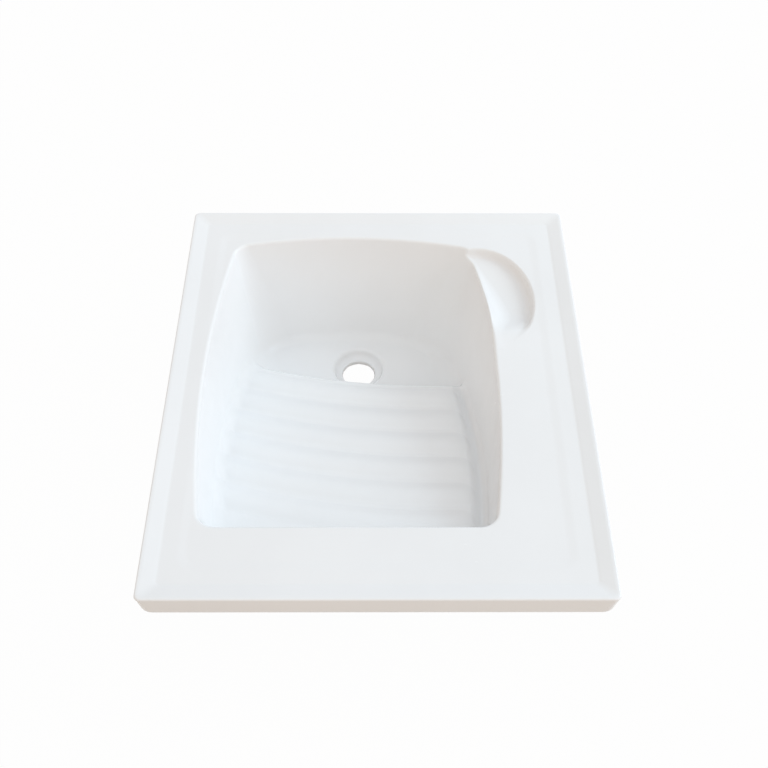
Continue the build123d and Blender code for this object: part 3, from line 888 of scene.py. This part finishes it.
def resin_look():
    """The moulding's laid-up back: matt resin with strands of chopped glass showing through."""
    look = Look("resin_back", Specular_IOR_Level=0.4)
    strands = look.node(
        "ShaderNodeTexVoronoi",
        {"Vector": look.stretched(1.0, 0.35, 1.0), "Scale": 260.0},
        feature="DISTANCE_TO_EDGE",
    ).outputs["Distance"]
    strands = look.spread(strands, 0.0, 0.12)
    crossing = look.noise(140.0, detail=5.0, rough=0.7, place=look.stretched(0.3, 1.0, 0.3))
    crossing = look.spread(crossing, 0.4, 0.6)
    colour = look.blend(strands, RESIN_DARK, RESIN_LIGHT)
    colour = look.blend(look.math("MULTIPLY", crossing, 0.5), colour, RESIN_STAIN)
    rough = look.spread(crossing, 0.0, 1.0, 0.5, 0.72)
    return look.finish(colour, rough, [(strands, 0.0002), (crossing, 0.0005)])


def plywood_look():
    """Birch plywood: long grain on its faces, light and dark plies on its edges."""
    look = Look("plywood", Specular_IOR_Level=0.3)
    grain = look.noise(38.0, detail=8.0, rough=0.65, place=look.stretched(14.0, 1.0, 14.0))
    face = look.blend(look.spread(grain, 0.38, 0.64), PLY_LIGHT, PLY_GRAIN)
    height = look.node("ShaderNodeSeparateXYZ", {0: look.place}).outputs[2]
    plies = look.math("FRACT", look.math("DIVIDE", height, 2 * PLY_THICKNESS * MM))
    plies = look.math("GREATER_THAN", plies, 0.5)
    edge = look.blend(plies, PLY_EDGE_LIGHT, PLY_EDGE_DARK)
    fibres = look.spread(look.noise(900.0, detail=3.0), 0.45, 0.75, 0.0, 0.6)
    edge = look.blend(fibres, edge, PLY_GRAIN)
    normal = look.node("ShaderNodeNewGeometry").outputs["Normal"]
    up = look.math("ABSOLUTE", look.node("ShaderNodeSeparateXYZ", {0: normal}).outputs[2])
    colour = look.blend(look.spread(up, 0.4, 0.7), edge, face)
    rough = look.spread(grain, 0.3, 0.7, 0.55, 0.8)
    return look.finish(colour, rough, [(grain, 0.00015)])


def foam_look():
    """Closed-cell foam strip: charcoal, with open pores on its cut faces."""
    look = Look("foam", Specular_IOR_Level=0.25)
    pores = look.node(
        "ShaderNodeTexVoronoi", {"Vector": look.place, "Scale": 1400.0}
    ).outputs["Distance"]
    dust = look.spread(look.noise(45.0, detail=5.0), 0.4, 0.7, 0.0, 0.5)
    colour = look.blend(look.spread(pores, 0.1, 0.6), FOAM_DARK, FOAM_LIGHT)
    colour = look.blend(dust, colour, FOAM_DUST)
    rough = look.spread(dust, 0.0, 0.5, 0.8, 0.95)
    return look.finish(colour, rough, [(pores, 0.0004)])


def metal_look(name, light, dark, stain, low, high):
    """Turned or plated metal: fine tool lines, duller stains and a varied gloss."""
    look = Look(name, Metallic=1.0)
    lines = look.noise(500.0, detail=2.0, rough=0.5, place=look.stretched(1.0, 1.0, 6.0))
    cloud = look.spread(look.noise(70.0, detail=5.0, rough=0.6), 0.35, 0.68)
    colour = look.blend(cloud, light, dark)
    spots = look.spread(look.noise(260.0, detail=4.0, rough=0.6), 0.6, 0.72, 0.0, 0.7)
    colour = look.blend(spots, colour, stain)
    gloss = look.spread(cloud, 0.0, 1.0, low, high)
    rough = look.math("ADD", gloss, look.math("MULTIPLY", spots, 0.15))
    return look.finish(colour, rough, [(lines, 0.00002)])


def dress_frame():
    """The refined moulding, the threaded studs and the materials of the CAD pieces that stay."""
    gelcoat, resin = gelcoat_look(), resin_look()
    plywood, foam = plywood_look(), foam_look()
    brass = metal_look("brass", BRASS_LIGHT, BRASS_DARK, BRASS_STAIN, 0.24, 0.4)
    zinc = metal_look("zinc_steel", ZINC_LIGHT, ZINC_DARK, ZINC_STAIN, 0.28, 0.48)
    shell = bpy.data.objects.new("basin_shell", basin_mesh())
    bpy.context.scene.collection.objects.link(shell)
    shell.data.materials.append(gelcoat)
    shell.data.materials.append(resin)
    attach(shell, "sink")
    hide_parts("basin")
    stud_low, stud_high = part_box("stud_left_front")
    thread = stud_mesh((stud_high[2] - stud_low[2]) / MM)
    thread.materials.append(zinc)
    looks = {"stiffener": plywood, "drain": plywood, "rim": foam, "insert": brass}
    for name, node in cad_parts.items():
        if name.startswith("stud_"):
            low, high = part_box(name)
            stud = bpy.data.objects.new("threaded_" + name, thread)
            stud.location = ((low[0] + high[0]) / 2, (low[1] + high[1]) / 2, low[2])
            bpy.context.scene.collection.objects.link(stud)
            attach(stud, "sink")
            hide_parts(name)
        elif name != "basin":
            material = looks.get(name.split("_")[0], zinc)
            for slot in node.material_slots:
                slot.material = material


def white_for_camera(tree, light):
    """The light's colour, with plain white instead for camera, glossy and transmission rays."""
    path = tree.nodes.new("ShaderNodeLightPath")
    seen = path.outputs["Is Camera Ray"]
    for name in ("Is Glossy Ray", "Is Transmission Ray"):
        add = tree.nodes.new("ShaderNodeMath")
        add.operation = "MAXIMUM"
        tree.links.new(seen, add.inputs[0])
        tree.links.new(path.outputs[name], add.inputs[1])
        seen = add.outputs[0]
    shown = tree.nodes.new("ShaderNodeMix")
    shown.data_type = "RGBA"
    tree.links.new(seen, shown.inputs[0])
    tree.links.new(light, shown.inputs[6])
    shown.inputs[7].default_value = WHITE
    return shown.outputs[2]


def vector_math(tree, operation, *values):
    """A vector node, each input linked where it is a socket and set where it is a value."""
    node = tree.nodes.new("ShaderNodeVectorMath")
    node.operation = operation
    for slot, value in zip(node.inputs, values):
        if isinstance(value, bpy.types.NodeSocket):
            tree.links.new(value, slot)
        else:
            slot.default_value = value
    return node


def build_world():
    """A soft tent of light, one lobe for each side that it comes from."""
    world = bpy.data.worlds.new("studio")
    bpy.context.scene.world = world
    world.use_nodes = True
    tree = world.node_tree
    direction = tree.nodes.new("ShaderNodeTexCoord").outputs["Generated"]
    total = (0.0, 0.0, 0.0)
    for side, colour in TENT:
        toward = vector_math(tree, "DOT_PRODUCT", direction, side).outputs["Value"]
        lobe = tree.nodes.new("ShaderNodeMath")
        lobe.operation = "MAXIMUM"
        tree.links.new(toward, lobe.inputs[0])
        lobe.inputs[1].default_value = 0.0
        share = vector_math(tree, "SCALE", colour)
        tree.links.new(lobe.outputs[0], share.inputs["Scale"])
        total = vector_math(tree, "ADD", share.outputs[0], total).outputs[0]
    background = tree.nodes["Background"]
    tree.links.new(white_for_camera(tree, total), background.inputs["Color"])
    background.inputs["Strength"].default_value = 1.0


def area_lamp(name, place, target, size, power, colour):
    data = bpy.data.lights.new(name, "AREA")
    data.shape = "RECTANGLE"
    data.size, data.size_y = size
    data.energy = power
    data.color = colour
    lamp = bpy.data.objects.new(name, data)
    bpy.context.scene.collection.objects.link(lamp)
    lamp.location = place
    lamp.rotation_euler = (Vector(target) - Vector(place)).to_track_quat("-Z", "Y").to_euler()


def build_floor():
    """Floor under the bowl: near white to the camera, with a faint shadow, and grey to the light."""
    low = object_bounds()[0][2]
    mesh = bpy.data.meshes.new("floor")
    s = FLOOR_SIZE / 2
    mesh.from_pydata([(-s, -s, 0), (s, -s, 0), (s, s, 0), (-s, s, 0)], [], [(0, 1, 2, 3)])
    floor = bpy.data.objects.new("floor", mesh)
    floor.location = (0, 0, low - FLOOR_GAP)
    bpy.context.scene.collection.objects.link(floor)
    look = Look("floor", Roughness=0.9, Specular_IOR_Level=0.1)
    fine = look.spread(look.noise(30.0, detail=4.0), 0.3, 0.7)
    paper = look.blend(fine, FLOOR_LIGHT, FLOOR_DARK)
    look.finish(paper, look.spread(fine, 0.0, 1.0, 0.85, 0.95), [])
    glow = look.node("ShaderNodeEmission", {"Color": WHITE, "Strength": 1.0})
    path = look.node("ShaderNodeLightPath")
    seen = look.math("MAXIMUM", path.outputs["Is Camera Ray"], path.outputs["Is Glossy Ray"])
    seen = look.math("MAXIMUM", seen, path.outputs["Is Transmission Ray"])
    share = look.math("MULTIPLY", seen, FLOOR_GLOW)
    inputs = {0: share, 1: look.shader.outputs[0], 2: glow.outputs[0]}
    surface = look.node("ShaderNodeMixShader", inputs)
    output = look.tree.nodes["Material Output"]
    look.tree.links.new(surface.outputs[0], output.inputs["Surface"])
    mesh.materials.append(look.material)


def build_camera():
    """The photograph's own view, solved from the rim's corners and edges."""
    yaw, pitch, roll = (math.radians(a) for a in (CAMERA_YAW, CAMERA_PITCH, CAMERA_ROLL))
    ahead = math.cos(pitch)
    forward = Vector((ahead * math.sin(yaw), ahead * math.cos(yaw), -math.sin(pitch)))
    level = Vector((math.cos(yaw), -math.sin(yaw), 0.0))
    down = forward.cross(level)
    right = math.cos(roll) * level + math.sin(roll) * down
    up = right.cross(forward)
    data = bpy.data.cameras.new("camera")
    data.sensor_width = CAMERA_SENSOR
    data.lens = CAMERA_LENS
    camera = bpy.data.objects.new("camera", data)
    bpy.context.scene.collection.objects.link(camera)
    turn = Matrix((right, up, -forward)).transposed().to_4x4()
    camera.matrix_world = Matrix.Translation(CAMERA_PLACE) @ turn
    bpy.context.scene.camera = camera


dress_frame()
build_world()
area_lamp("side", *SIDE_LAMP)
build_floor()
build_camera()
bpy.context.scene.view_settings.view_transform = "Standard"
